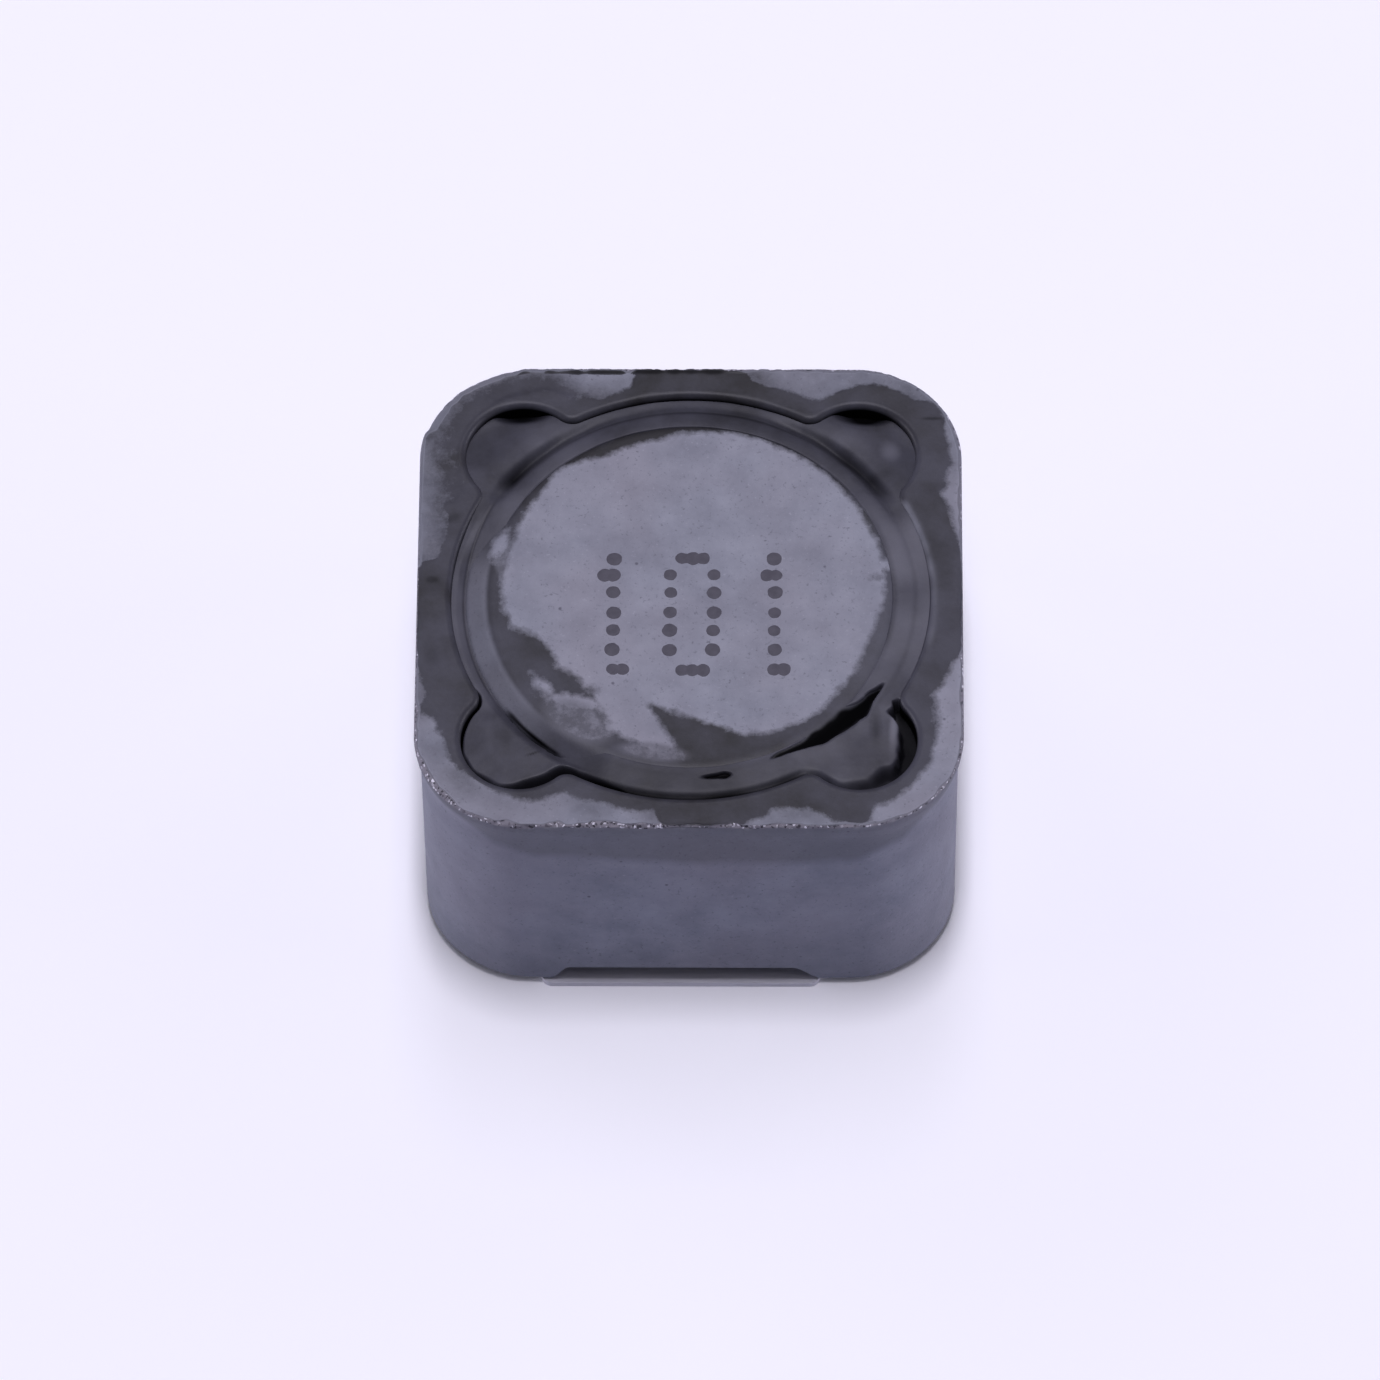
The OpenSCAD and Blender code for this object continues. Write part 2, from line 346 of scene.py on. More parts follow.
# Depth of the varnish's run down the outer walls
RUN_DEPTH = [
    (0, 1.2), (35, 0.5), (45, 0.25), (55, 0.5), (90, 1.3), (125, 0.5), (135, 0.25), (145, 0.5),
    (180, 1.3), (218, 0.2), (228, 0.4), (235, 1.0), (241, 1.35), (270, 1.5), (300, 1.45), (308, 1.1),
    (315, 0.5), (322, 0.2),
]
# How far the wall stands back below its lip
INSET = [
    (0, 0.1), (45, 0.1), (90, 0.06), (180, 0.12), (228, 0.13), (238, 0.1), (248, 0.05), (289, 0.05),
    (298, 0.09), (312, 0.12),
]
# Rounding of the foot's outer edge
FOOT_ROUND = [(0, 0.12), (225, 0.2), (245, 0.12), (290, 0.1), (315, 0.14)]
# Depth below the top at which the opening's wall starts to be painted black, as shade
WALL_SHADE_DEPTH = [
    (0, 0.3), (30, 0.3), (40, 0.2), (50, 0.12), (90, 0.12), (130, 0.12), (140, 0.2), (150, 0.3),
    (205, 0.3), (215, 0.16), (245, 0.2), (255, 0.3), (298, 0.3), (308, 0.16), (325, 0.12), (332, 0.3),
]
# The ground face lies this far below the ring's top, the film fills most of that, and both wave a little
FACE_SINK = 0.02
FILM_T = 0.013
FACE_WAVE = 0.006
# How deep the crumbs are that have broken out of the edge
CRUMB_D = 0.035
# Rows of points along the ring's section, in the order that it is carried
FOOT_EDGE_ROWS, WALL_ROWS, EDGE_ROWS, FACE_ROWS, ROUND_ROWS, BORE_ROWS, FOOT_ROWS = 6, 30, 10, 22, 6, 14, 9
WALL, EDGE, FACE, INSIDE, FOOT = range(5)


def ring_piece():
    """Closed section carried round the ring. A station has a point on the opening's outline and the point of
    the outer square in the same direction. Its section climbs the outer wall, breaks over the chipped edge,
    crosses the top, rounds into the opening, goes down the inner wall and back across the foot."""
    inner, into = opening_outline(STATIONS)
    angle = np.arctan2(inner[:, 1], inner[:, 0])
    outer, out = square_outline(angle)
    degrees = np.degrees(angle)

    # The pressed edge has crumbled by different amounts along its run
    ox, oy = outer.T
    worn = around(degrees, CRUMBLE)
    crumbs = lumps(ox, oy, 0, 0.5, 3) * 0.6 + lumps(ox, oy, 3, 0.2, 4) * 0.5
    on_top = 0.04 + 0.14 * worn * np.clip(crumbs + 0.4, 0, 1)
    on_side = 0.05 + 0.1 * worn * np.clip(lumps(ox, oy, 5, 0.4, 5) * 0.7 + 0.4, 0, 1)
    # A long flake is missing at the back left corner
    flake = window(degrees, 124, 142.5, 2.5) * (0.7 + 0.3 * crumbs)
    on_top = on_top + 0.2 * flake
    on_side = on_side + 0.24 * flake

    rows, parts = [], []

    def row(part, place, height, chipped=0.0):
        rows.append((place, np.broadcast_to(height, angle.shape), chipped))
        parts.append(part)

    foot_edge = around(degrees, FOOT_ROUND)
    wall = outer - out * around(degrees, INSET)[:, None]
    foot_in = wall - out * foot_edge[:, None]
    for t in np.linspace(0, 1, FOOT_EDGE_ROWS):
        a = t * math.pi / 2
        reach = foot_edge * math.sin(a)
        row(FOOT, foot_in + out * reach[:, None], RING_FOOT + foot_edge * (1 - math.cos(a)))
    wall_low = RING_FOOT + foot_edge
    wall_high = RING_TOP - on_side
    for t in np.linspace(0, 1, WALL_ROWS)[1:]:
        height = wall_low + (wall_high - wall_low) * t
        lip = smooth(RING_TOP - 0.8, RING_TOP - 0.1, height)[:, None]
        row(WALL, wall * (1 - lip) + outer * lip, height)
    outer_edge = wall * (1 - lip) + outer * lip
    for t in np.linspace(0, 1, EDGE_ROWS)[1:]:
        a = t * math.pi / 2
        inset = on_top * (1 - math.cos(a))
        broken = math.sin(t * math.pi) ** 0.5
        row(EDGE, outer_edge - out * inset[:, None], wall_high + on_side * math.sin(a), broken)
    top_outer = outer_edge - out * on_top[:, None]
    top_inner = inner - into * INNER_ROUND
    for t in np.linspace(0, 1, FACE_ROWS)[1:]:
        row(FACE, top_outer * (1 - t) + top_inner * t, RING_TOP)
    for t in np.linspace(0, 1, ROUND_ROWS)[1:]:
        a = t * math.pi / 2
        back = into * INNER_ROUND * (1 - math.sin(a))
        row(INSIDE, inner - back, RING_TOP - INNER_ROUND * (1 - math.cos(a)))
    # Closer rows near the top, where the wall shows
    for t in np.linspace(0, 1, BORE_ROWS)[1:] ** 1.6:
        row(INSIDE, inner, RING_TOP - INNER_ROUND - (RING_TOP - INNER_ROUND - RING_FOOT) * t)
    for t in np.linspace(0, 1, FOOT_ROWS)[1:-1]:
        row(FOOT, inner * (1 - t) + foot_in * t, RING_FOOT)

    place = np.array([r[0] for r in rows])
    z = np.array([r[1] for r in rows])
    chipped = np.array([r[2] for r in rows])[:, None] * np.ones_like(z)
    part = np.array(parts)[:, None]
    on_face = part == FACE
    x, y = place[..., 0], place[..., 1]

    # The notch lifts what stands below its roof, and the wall above it closes up evenly
    share = np.clip(1 - (z - RING_FOOT) / NOTCH_FADE, 0, 1)
    z = z + notch_height(x, y) * share

    # Crumbs broken out of the edge
    bite = chipped * worn * (lumps(x, y, z, 0.16, 7) + lumps(x, y, z, 0.07, 8)) * CRUMB_D
    depth = np.minimum(bite, 0)
    x = x + out[:, 0] * depth
    y = y + out[:, 1] * depth
    z = z + depth

    # The film stands a little above the ground ferrite, and a halo of haze lies along its shore
    gap = from_opening(x, y)
    creep = around(degrees, CREEP) + 0.05 * lumps(x, y, 0, 0.6, 11) + 0.03 * lumps(x, y, 0, 0.25, 12)
    level = np.where(on_face, creep - gap, np.where(part == EDGE, creep - gap - 0.1, -1.0))
    level = np.where(part == INSIDE, 1.0, level)
    film = smooth(-0.05, 0.1, level)
    halo = (0.3 + 0.35 * window(degrees, 112, 165, 10)) * smooth(-0.6, 0.05, level)
    z = z - on_face * (FACE_SINK - FILM_T * film + FACE_WAVE * lumps(x, y, 0, 0.5, 13))

    # A thin film runs down the wall from the edge, and the wall is painted darker towards the foot as shade
    run = z - RING_TOP + around(degrees, RUN_DEPTH)
    run = run + 0.1 * lumps(x, y, 0, 1.3, 14) + 0.05 * lumps(x, y, 0, 0.4, 17)
    # Painted shade: more film towards the foot darkens the lower wall
    run = np.where(z < 3, np.maximum(run, -0.25 + 0.17 * smooth(2.6, 0.6, z)), run)
    run = np.where(on_face | (part == INSIDE), -1.0, run)
    haze = around(degrees, HAZE) + 0.25 * lumps(x, y, 0, 0.7, 15) + halo
    haze = np.where(on_face, haze, 0.0)
    tone = around(degrees, RIM_TONE) + 0.35 * lumps(x, y, 0, 1.1, 16) + 0.2 * lumps(x, y, 0, 0.4, 19)
    # Painted shade: the opening's wall is black below that depth
    black_below = around(degrees, WALL_SHADE_DEPTH)
    dark = (part == INSIDE) * smooth(-0.04, 0.04, RING_TOP - z - black_below)
    # Grime in the broken back edge, a scratch at the back right, and a dent, a smear and a smudge on the left
    to_edge = np.hypot(x - ox, y - oy)
    grime = window(degrees, 84, 124, 3) * on_face * (1 - smooth(0.08, 0.2, to_edge + 0.06 * crumbs))
    scratch = on_face * spots(x, y, 0.7, ((5.35, 4.66), (0.4, 0.07), 0))
    dent = on_face * spots(x, y, 0.7, ((-5.67, 0.38), (0.24, 0.16), 0))
    smear = on_face * spots(x, y, 0.8, ((-5.65, -1.6), (0.3, 0.42), 0))
    smudge = on_face * spots(x, y, 0.8, ((-5.25, 2.0), (0.36, 0.2), 25))
    for mark, share in ((grime, 0.8), (scratch, 0.55), (dent, 0.5), (smear, 0.35), (smudge, 0.45)):
        dark = np.maximum(dark, share * mark)
    level = np.maximum(level, np.maximum(grime - 0.3, 1.15 * smudge - 1))
    # A painted highlight runs along the opening on the right, as on a bead of clear resin: the film is thinned
    # there to show light
    bead_highlight = np.exp(-((gap - around(degrees, BEAD)) / BEAD_W) ** 2) * window(degrees, -13, 26, 3)
    bead_highlight = bead_highlight * (0.8 + 0.4 * lumps(x, y, 0, 0.35, 18)) * around(degrees, BEAD_HIGHLIGHT)
    return skin(
        "ring",
        [np.stack([x, y, z], -1)],
        wrap_rows=True,
        varnish=level,
        chipped=chipped * (0.3 + worn),
        run=run,
        haze=haze,
        tone=tone,
        dark=dark,
        thin=bead_highlight * (on_face | (part == INSIDE)),
    )


# ---- drum core ----

def fillet(corners, steps):
    """Profile through corners (radius, height, rounding): a corner with a rounding becomes a quadratic
    curve between the points that lie that far from it on its two sides."""
    out = []
    for i, (r, z, rounding) in enumerate(corners):
        here = np.array([r, z])
        if rounding == 0:
            out.append(here[None])
            continue
        ends = []
        for other in (corners[i - 1], corners[i + 1]):
            way = np.array(other[:2]) - here
            ends.append(here + way / np.linalg.norm(way) * rounding)
        t = np.linspace(0, 1, steps)[:, None]
        out.append((1 - t) ** 2 * ends[0] + 2 * t * (1 - t) * here + t ** 2 * ends[1])
    return np.vstack(out)


def finer(profile, step, least_r, least_z):
    """The same profile with points added so that none lie further apart than step, where it is outside a
    radius and above a height."""
    out = [profile[:1]]
    for a, b in zip(profile[:-1], profile[1:]):
        wanted = min(a[0], b[0]) > least_r and min(a[1], b[1]) > least_z
        count = max(1, math.ceil(np.linalg.norm(b - a) / step)) if wanted else 1
        out.append(a + (b - a) * (np.arange(1, count + 1) / count)[:, None])
    return np.vstack(out)


# How thick and dark the film over the drum is; it is painted darker at the back as shade and lighter on the
# right as sheen
DRUM_TONE = [(0, 0.1), (60, 0.6), (90, 1.1), (120, 0.9), (180, 0.3), (250, 0.5), (280, 0.85), (320, 0.4)]


def drum_piece():
    """Profile turned round the axis: a fine row of points across the top face, then the bevel, the flange,
    the post and the lower flange."""
    flat_r = BEVEL_R - 0.2
    face = np.stack([np.linspace(POLE_R, flat_r, DISC_ROWS), np.full(DISC_ROWS, DRUM_TOP)], -1)
    rest = fillet(
        [
            (flat_r, DRUM_TOP, 0),
            (BEVEL_R, DRUM_TOP, 0.16),
            (FLANGE_R, DRUM_TOP - BEVEL_H, 0.1),
            (FLANGE_R, DRUM_TOP - FLANGE_T, 0),
            (POST_R, DRUM_TOP - FLANGE_T, 0),
            (POST_R, DRUM_FOOT + FLANGE_T, 0),
            (FLANGE_R, DRUM_FOOT + FLANGE_T, 0),
            (FLANGE_R, DRUM_FOOT, 0.1),
            (POLE_R, DRUM_FOOT, 0),
        ],
        steps=7,
    )[1:]
    profile = finer(np.vstack([face, rest]), 0.04, BEVEL_R - 0.3, DRUM_TOP - 0.3)
    turn = np.linspace(0, 2 * math.pi, DRUM_STATIONS, endpoint=False)
    degrees = np.degrees(turn)
    r, z = profile.T
    x = r[:, None] * np.cos(turn)
    y = r[:, None] * np.sin(turn)
    z = np.repeat(z[:, None], len(turn), 1)
    upper = z > DRUM_TOP - FLANGE_T
    level = np.where(upper, varnish_on_drum(x, y), 1.0)
    haze = 0.6 * spots(x, y, 0.5, ((-2.4, -3.25), (1.0, 0.6), -35), ((-0.75, -4.05), (0.9, 0.3), -8))
    tone = around(degrees, DRUM_TONE) + 0.3 * lumps(x, y, 0, 0.5, 24)
    # The film has drained off the bevel on the left and is thin there; the lightening there and on the right is
    # also painted highlight
    on_bevel = smooth(BEVEL_R - 0.06, BEVEL_R + 0.08, np.hypot(x, y))
    thin = 0.5 * window(degrees, 178, 212, 24) * on_bevel + 0.13 * window(degrees, -30, 30, 20)
    # It is patchy at the front left, at the front and on the left
    patchy = spots(
        x, y, 0.4,
        ((-2.45, -3.25), (1.05, 0.55), -35),
        ((-0.75, -4.05), (0.95, 0.28), -8),
        ((-4.1, 1.0), (0.3, 0.9), 10),
    )
    thin = thin + 0.25 * patchy
    level = np.where(level > 0.02, level * (1 - patchy) + 0.08 * patchy, level)
    cleft = crack(x, y, 0.02) * upper
    # Painted shade: the crack by the flange is black, and the film a little darker at the back
    dark = np.maximum(cleft, 0.1 * window(degrees, 65, 115, 30) * upper)
    # The film is thickest where it dried, along its shore
    tone = tone + 0.45 * np.exp(-(level / 0.3) ** 2) * window(degrees, 32, 120, 20)
    zero = np.zeros_like(x)
    return skin(
        "drum",
        [np.stack([x, y, z], -1)],
        wrap_rows=False,
        first_pole=True,
        last_pole=True,
        varnish=np.maximum(level, 1.8 * cleft - 1),
        chipped=zero,
        run=zero - 1,
        haze=haze,
        tone=tone,
        dark=dark,
        thin=thin * (1 - dark),
    )


# Radius at which the bare disc meets the varnish
SHORE = [
    (0, 4.24), (10, 4.27), (15, 4.32), (40, 4.34), (60, 4.36), (76, 4.36), (90, 4.28), (104, 4.16),
    (115, 4.11), (124, 4.24), (132, 4.4), (140, 4.26), (150, 4.2), (162, 4.14), (176, 4.13), (184, 4.1),
    (191, 3.97), (199, 3.68), (208, 3.62), (217, 3.45), (223, 3.22), (231, 3.3), (237, 3.5), (243, 3.95),
    (262, 4.0), (272, 3.62), (290, 3.8), (300, 3.95), (310, 4.08), (325, 4.05), (340, 4.07), (352, 4.16),
]
# Where varnish has run in over the disc, and where it has left ferrite bare: middle, radii, turn
RUN_IN = (
    ((-3.45, -1.55), (0.85, 0.42), -52),
    ((-2.95, -2.2), (0.8, 0.35), -25),
    ((-2.35, -2.42), (0.34, 0.12), -12),
    ((-1.75, -3.1), (0.28, 0.2), 0),
    ((4.16, 0.5), (0.14, 0.07), 0),
)
LEFT_BARE = (
    ((-1.25, -3.3), (1.0, 0.3), -42),
    ((-2.45, -2.76), (0.55, 0.13), -12),
    ((-3.2, -2.35), (0.26, 0.1), -45),
    ((-4.2, 1.3), (0.14, 0.3), -20),
    ((4.3, 0.85), (0.3, 0.12), 0),
)
# Tip of the wedge of varnish at the front left
WEDGE_TIP = (-0.95, -2.75)


def varnish_on_drum(x, y):
    """Level of the varnish over the drum's face, in millimetres past its ragged shore: how far a point lies
    outside the bare disc, or inside a wedge or a patch that has run in from the edge."""
    r = np.hypot(x, y)
    degrees = np.degrees(np.arctan2(y, x))
    level = r - around(degrees, SHORE) - 0.04 * lumps(x, y, 0, 0.5, 21) - 0.02 * lumps(x, y, 0, 0.2, 22)
    # The wedge lies between a line along the front and one across the rim
    tip_x, tip_y = x - WEDGE_TIP[0], y - WEDGE_TIP[1]
    below = (-0.39 * tip_x - tip_y) * 0.93
    beside = tip_x * 0.885 + tip_y * 0.466
    level = np.maximum(level, np.minimum(below, beside))
    for centre, radii, turn in RUN_IN:
        level = np.maximum(level, blob(x, y, centre, radii, turn) * min(radii))
    for centre, radii, turn in LEFT_BARE:
        level = np.minimum(level, -blob(x, y, centre, radii, turn) * min(radii))
    return level


# ---- top adhesive ----

# Middle radius and width of the crack between flange and epoxy
CRACK_R = [
    (0, 4.9), (240, 4.9), (262, 4.7), (284, 4.7), (296, 4.56), (314, 4.66), (326, 4.75), (335, 4.85),
]
CRACK_W = [
    (0, 0.0), (213, 0.0), (218, 0.04), (226, 0.055), (233, 0.04), (237, 0.0), (272, 0.0), (277, 0.07),
    (279.5, 0.1), (282, 0.0), (292, 0.0), (297, 0.08), (303, 0.16), (309, 0.27), (315, 0.36), (321, 0.36),
    (326, 0.14), (333, 0.0),
]


def crack(x, y, margin=0.0):
    """1 in the crack where the epoxy has shrunk from the flange, widened by a margin, and 0 outside it."""
    degrees = np.degrees(np.arctan2(y, x))
    width = around(degrees, CRACK_W)
    ragged = np.clip(0.2 * width, 0, 0.05) * lumps(x, y, 0, 0.3, 33)
    off = np.abs(np.hypot(x, y) - around(degrees, CRACK_R)) + ragged
    half = width / 2 + margin
    soft = 0.03 + 0.1 * width
    return (1 - smooth(half - soft, half + soft, off)) * smooth(0.0, 0.05, width)


# Depth of the soft crease along the flange
CREASE = [
    (0, 0.0), (28, 0.1), (36, 0.5), (48, 0.6), (60, 0.35), (74, 0.12), (90, 0.1), (108, 0.15), (120, 0.3),
    (130, 0.5), (141, 0.55), (147, 0.2), (152, 0.0),
]
# Width of the crack between epoxy and the opening's wall
WALL_CRACK = [
    (0, 0.0), (205, 0.0), (209, 0.04), (216, 0.04), (222, 0.06), (228, 0.15), (234, 0.24), (240, 0.2),
    (246, 0.11), (252, 0.06), (257, 0.0), (298, 0.0), (303, 0.08), (309, 0.24), (315, 0.33), (321, 0.34),
    (325, 0.3), (328, 0.14), (330, 0.0),
]


def adhesive_piece():
    """Height field over the gap and the lobes, on rays from the flange to the opening's outline, closed by
    a floor below it."""
    inner, into = opening_outline(STATIONS)
    angle = np.arctan2(inner[:, 1], inner[:, 0])
    first = np.stack([np.cos(angle), np.sin(angle)], -1) * (BEVEL_R - GLUE_LAP)
    last = inner - into * GLUE_CLEAR
    # The points lie closer at both ends of a ray, where the cracks are
    t = np.linspace(0, 1, GLUE_ROWS)
    t = (0.6 * t + 0.4 * smooth(0, 1, t))[:, None, None]
    place = first[None] * (1 - t) + last[None] * t
    x, y = place[..., 0], place[..., 1]
    depth, dark = adhesive_form(x, y)
    z = RING_TOP - depth
    floor = np.full_like(z[:1], RING_TOP - GLUE_DEPTH)
    points = np.concatenate([
        np.stack([x, y, z], -1),
        np.stack([x[-1:], y[-1:], floor], -1),
        np.stack([x[:1], y[:1], floor], -1),
    ])
    dark = np.concatenate([dark, dark[-1:], dark[:1]])
    return skin("adhesive", [points], wrap_rows=True, dark=dark)


# Depth of the epoxy's surface below the ring's top once it is clear of the flange
BED = [
    (0, 0.06), (30, 0.08), (45, 0.13), (60, 0.16), (75, 0.19), (90, 0.2), (105, 0.19), (120, 0.16),
    (135, 0.13), (150, 0.1), (165, 0.2), (180, 0.24), (200, 0.24), (212, 0.19), (225, 0.15), (245, 0.12),
    (270, 0.12), (295, 0.12), (315, 0.11), (335, 0.07),
]
# How black the bottom of the crack by the wall is painted, as shade
WALL_PAINTED_SHADE = [
    (0, 1.0), (222, 1.0), (230, 0.8), (250, 0.65), (298, 0.35), (309, 0.4), (314, 0.7), (318, 1.0),
]
# How much further the surface falls towards the outer wall of a lobe
FALL = [(0, 0.0), (45, 0.13), (90, 0.0), (135, 0.12), (180, 0.0), (225, 0.14), (270, 0.0), (315, 0.06)]
# How much of the flange's bevel the epoxy leaves bare
BARE_BEVEL = [(0, 0.0), (150, 0.0), (178, 1.0), (230, 1.0), (250, 0.0)]
# Pools in the two back lobes, sunk and painted dark as shade: middle, radii
POOLS_AND_PAINTED_SHADE = (((3.85, 4.98), (0.8, 0.42)), ((-3.75, 5.0), (0.8, 0.42)))
# Patches that have dried darker, above 0, or milkier, below 0, and last a painted highlight down a ridge in the
# front right lobe with painted shade beside it: middle, radii, turn, amount
MOTTLE_AND_PAINTED_LIGHT = (
    ((4.43, 3.85), (0.34, 0.42), 0, -0.42),
    ((3.9, 4.2), (0.9, 0.7), 0, -0.22),
    ((4.27, 3.25), (0.45, 0.3), 20, 0.35),
    ((-4.0, -3.6), (0.2, 0.75), 0, 0.25),
    ((-4.35, -3.6), (0.18, 0.7), 0, -0.12),
    ((-3.4, -4.03), (0.25, 0.04), 18, 0.8),
    ((-2.82, -3.96), (0.16, 0.035), -8, 0.7),
    # Painted highlight down a ridge in the front right lobe, and painted shade beside it
    ((4.47, -3.4), (0.14, 0.7), -4, -0.55),
    ((4.08, -3.4), (0.18, 0.65), 0, 0.5),
)


def adhesive_form(x, y):
    """Depth of the epoxy's surface below the ring's top, and how dark it is painted: black as shade in its
    pools, cracks, crease and groove, lighter as sheen on the bevels, with patches dried darker and milkier. It
    fills the flange's bevel or, on the left, starts at its foot, runs level as a bed and falls towards a lobe's
    outer wall.
    A pool lies at the outer wall of the two back lobes, and cracks are cut where the epoxy has shrunk from the
    flange and from the wall."""
    r = np.hypot(x, y)
    degrees = np.degrees(np.arctan2(y, x))
    wall = np.maximum(-from_opening(x, y), 0)
    past = r - FLANGE_R
    bed = around(degrees, BED)
    level = RING_TOP - DRUM_TOP
    out = r - BEVEL_R
    filled = level - 0.012 + 0.1 * smooth(0, -0.05, out) + (bed - level) * smooth(0, 0.8, out)
    from_foot = level + BEVEL_H + 0.03 + (bed - level - BEVEL_H) * smooth(-0.02, 0.22, past)
    bare = around(degrees, BARE_BEVEL)
    depth = filled * (1 - bare) + from_foot * bare
    depth = depth + around(degrees, FALL) * smooth(0.5, 1.5, past)
    dark = 0 * x
    # Each pool sinks the surface and is painted dark as shade
    for centre, radii in POOLS_AND_PAINTED_SHADE:
        deep = blob(x, y, centre, radii)
        depth = depth + 0.24 * smooth(0.0, 0.75, deep)
        dark = np.maximum(dark, smooth(-0.5, 0.9, deep) ** 1.3)
    wall_crack = around(degrees, WALL_CRACK) * (1 + 0.25 * lumps(x, y, 0, 0.3, 31))
    edge = 0.03 + 0.05 * window(degrees, 226, 250, 8) + 0.11 * window(degrees, 298, 313, 5)
    by_wall = (1 - smooth(-edge, edge, wall - wall_crack)) * smooth(0.0, 0.03, wall_crack)
    # black is painted shade at the bottom of the crack by the wall
    black = by_wall * around(degrees, WALL_PAINTED_SHADE)
    by_flange = crack(x, y)
    crease = around(degrees, CREASE) * np.exp(-((past - 0.07) / 0.15) ** 2)
    groove = np.exp(-((wall - 0.06) / 0.1) ** 2) * window(degrees, 246, 296, 10)
    seam = np.exp(-((past + 0.05) / 0.05) ** 2) * (1 - bare) * window(degrees, 40, 130, 20)
    seam = seam + 0.8 * np.exp(-((past - 0.03) / 0.03) ** 2) * window(degrees, 155, 205, 14)
    seam = seam + 0.3 * np.exp(-((past - 0.02) / 0.06) ** 2) * window(degrees, -30, 20, 10)
    # Painted shade over the front band and at the back by the flange, painted sheen lightening the right bevel
    # and the left side, and a random mottle
    mottle_and_painted_light = 0.34 * window(degrees, 248, 290, 12) * smooth(-0.5, -0.3, past)
    mottle_and_painted_light = mottle_and_painted_light - 0.3 * window(degrees, -15, 18, 15) * smooth(0, 0.15, out)
    mottle_and_painted_light = mottle_and_painted_light - 0.12 * window(degrees, 165, 205, 15) + 0.2 * lumps(x, y, 0, 0.8, 34)
    mottle_and_painted_light = mottle_and_painted_light + 0.12 * window(degrees, 70, 110, 25) * smooth(0.1, -0.1, past)
    for centre, radii, turn, amount in MOTTLE_AND_PAINTED_LIGHT:
        mottle_and_painted_light = mottle_and_painted_light + amount * smooth(0, 0.9, blob(x, y, centre, radii, turn))
    cleft = 0.5 - 0.35 * window(degrees, 270, 284, 4)
    depth = depth + cleft * by_flange + 0.45 * black * by_wall + 0.3 * crease + 0.06 * groove + 0.012 * seam
    depth = depth + 0.01 * lumps(x, y, 0, 0.4, 32)
    # Painted shade: black in the cracks, the crease and the groove; the seam is a dark joint
    for hollow, share in ((by_flange, 1), (black, 1), (crease, 1.4), (groove, 0.6), (seam, 0.4)):
        dark = np.maximum(dark, share * hollow)
    return np.minimum(depth, GLUE_DEPTH - 0.05), np.clip(dark + mottle_and_painted_light, -1, 1)


# ---- marking ----

# A generic number. A figure has seven rows of dots, top row first. A row holds runs of dots, and a run holds
# its dots' columns.
FIGURES = {
    "1": [[(0,)], [(-0.8, 0)], [(0,)], [(0,)], [(0,)], [(0,)], [(0, 0.9)]],
    "0": [[(-1, 0, 1)]] + [[(-2,), (2,)]] * 5 + [[(-1, 0, 1)]],
}
MARKS = (("1", -1.68), ("0", 0.05), ("1", 1.87))
ROW_Y = (0.96, 0.53, 0.08, -0.45, -0.92, -1.42, -1.93)
COLUMN_PITCH = 0.235
DOT_R = 0.15
INK_H = 0.004


def marking_piece():
    """Ink dots. A run's outline, seen from its middle, is how far a ray goes before it leaves the last of
    its discs: offset along the ray plus the root of the radius squared less the offset across it squared."""
    turn = np.linspace(0, 2 * math.pi, 48, endpoint=False)
    ray_x, ray_y = np.cos(turn), np.sin(turn)
    draw = np.random.default_rng(41)
    grids = []
    for figure, middle in MARKS:
        for row_y, runs in zip(ROW_Y, FIGURES[figure]):
            for run in runs:
                offsets = (np.array(run) - np.mean(run)) * COLUMN_PITCH
                radii = DOT_R * draw.uniform(0.92, 1.14, len(run))
                across = (radii ** 2)[:, None] - (offsets[:, None] * ray_y) ** 2
                exits = offsets[:, None] * ray_x + np.sqrt(np.maximum(across, 0))
                reach = np.where(across > 0, exits, 0).max(0)
                centre_x = middle + np.mean(run) * COLUMN_PITCH + draw.uniform(-0.02, 0.02)
                centre_y = row_y + draw.uniform(-0.015, 0.015)
                reach = reach * (1 + 0.05 * lumps(ray_x + centre_x, ray_y + centre_y, row_y, 0.5, 42))
                rings = []
                for share, height in ((1.0, -0.01), (1.0, 0.6 * INK_H), (0.94, INK_H), (0.5, INK_H)):
                    rings.append(np.stack([
                        centre_x + reach * share * ray_x,
                        centre_y + reach * share * ray_y,
                        np.full_like(reach, DRUM_TOP + height),
                    ], -1))
                grids.append(np.array(rings))
    return skin("marking", grids, wrap_rows=False, first_pole=True, last_pole=True)


# ---- materials ----

def linear(code):
    """Linear colour from an sRGB hex code."""
    s = [int(code[i:i + 2], 16) / 255 for i in (1, 3, 5)]
    return [c / 12.92 if c <= 0.04045 else ((c + 0.055) / 1.055) ** 2.4 for c in s] + [1.0]


def add(tree, kind, settings=None, out=0, **links):
    """Adds a node of that kind and gives back one of its outputs. settings go to its own properties, or to
    its inputs where the key is a number or an input's name. Each link names an input, as i0, i1 ... or by
    name. In a Mix of colours, inputs 6 and 7 are the colours and output 2 the result. A Map Range takes the
    range from inputs 1 and 2 to the one from 3 and 4."""
    node = tree.nodes.new("ShaderNode" + kind)
    for key, value in (settings or {}).items():
        if isinstance(key, int) or key in node.inputs:
            node.inputs[key].default_value = value
        else:
            setattr(node, key, value)
    for key, source in links.items():
        number = key[0] == "i" and key[1:].isdigit()
        tree.links.new(source, node.inputs[int(key[1:]) if number else key])
    return node.outputs[out]


